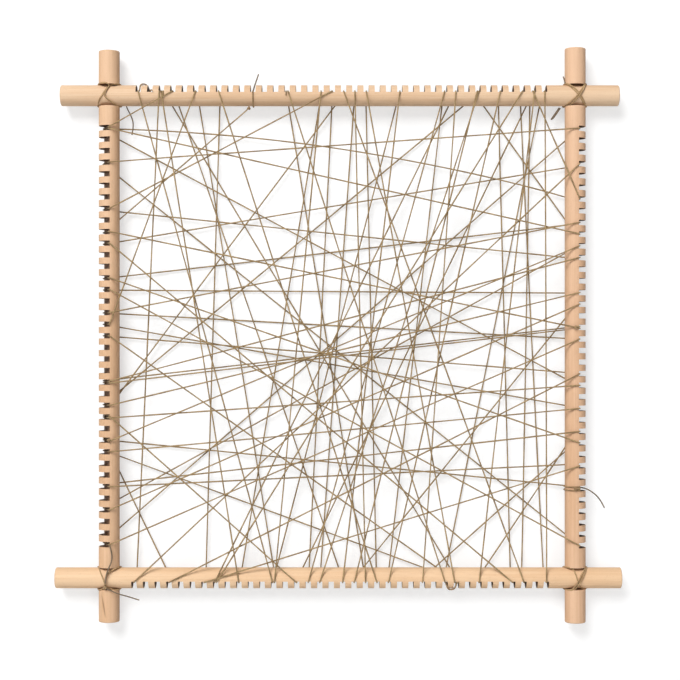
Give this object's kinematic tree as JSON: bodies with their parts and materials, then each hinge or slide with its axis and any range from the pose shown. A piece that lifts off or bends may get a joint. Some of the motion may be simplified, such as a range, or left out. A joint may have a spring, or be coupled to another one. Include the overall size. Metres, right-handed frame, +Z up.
{
  "type": "frame loom",
  "caption": "Square wooden frame loom of slotted dowels, half-lapped and lashed at the corners, with a web of natural twine wound at random across it.",
  "frame": {"origin": "underside of the top bar, midway between the uprights, where a wall hook carries the loom", "axes": "+X to the right along the bars, +Z up along the uprights, the front of the loom faces -Y"},
  "size_m": [0.4901, 0.0269, 0.4976],
  "materials": {
    "dowel_wood": "matte",
    "web_twine": "matte",
    "lashing_twine": "matte",
    "knot_twine": "matte",
    "tail_twine": "matte"
  },
  "bodies": {
    "root": {"top_bar": "dowel_wood", "bottom_bar": "dowel_wood", "left_upright": "dowel_wood", "right_upright": "dowel_wood", "web_twine_1": "web_twine", "web_twine_2": "web_twine", "web_twine_3": "web_twine", "web_twine_4": "web_twine", "web_twine_5": "web_twine", "web_twine_6": "web_twine", "top_left_lashing": "lashing_twine", "top_right_lashing": "lashing_twine", "bottom_left_lashing": "lashing_twine", "bottom_right_lashing": "lashing_twine", "top_bar_knot_1": "knot_twine", "top_bar_knot_3": "knot_twine", "top_bar_low_knot": "knot_twine", "top_bar_knot_14": "knot_twine", "left_upright_knot_23": "knot_twine", "left_upright_knot_26": "knot_twine", "left_upright_knot_28": "knot_twine", "right_upright_knot_18": "knot_twine", "right_upright_knot_32": "knot_twine", "top_bar_hitch": "knot_twine", "right_upright_hitch": "knot_twine", "top_bar_tooth_loop": "knot_twine", "bottom_bar_tooth_loop": "knot_twine", "top_bar_tail": "knot_twine", "top_right_lashing_ends": "knot_twine", "bottom_left_lashing_lead": "knot_twine", "bottom_left_lashing_knot": "knot_twine", "right_upright_tail": "tail_twine", "bottom_left_lashing_tail": "tail_twine", "top_left_lashing_tail": "tail_twine"}
  },
  "joints": []
}
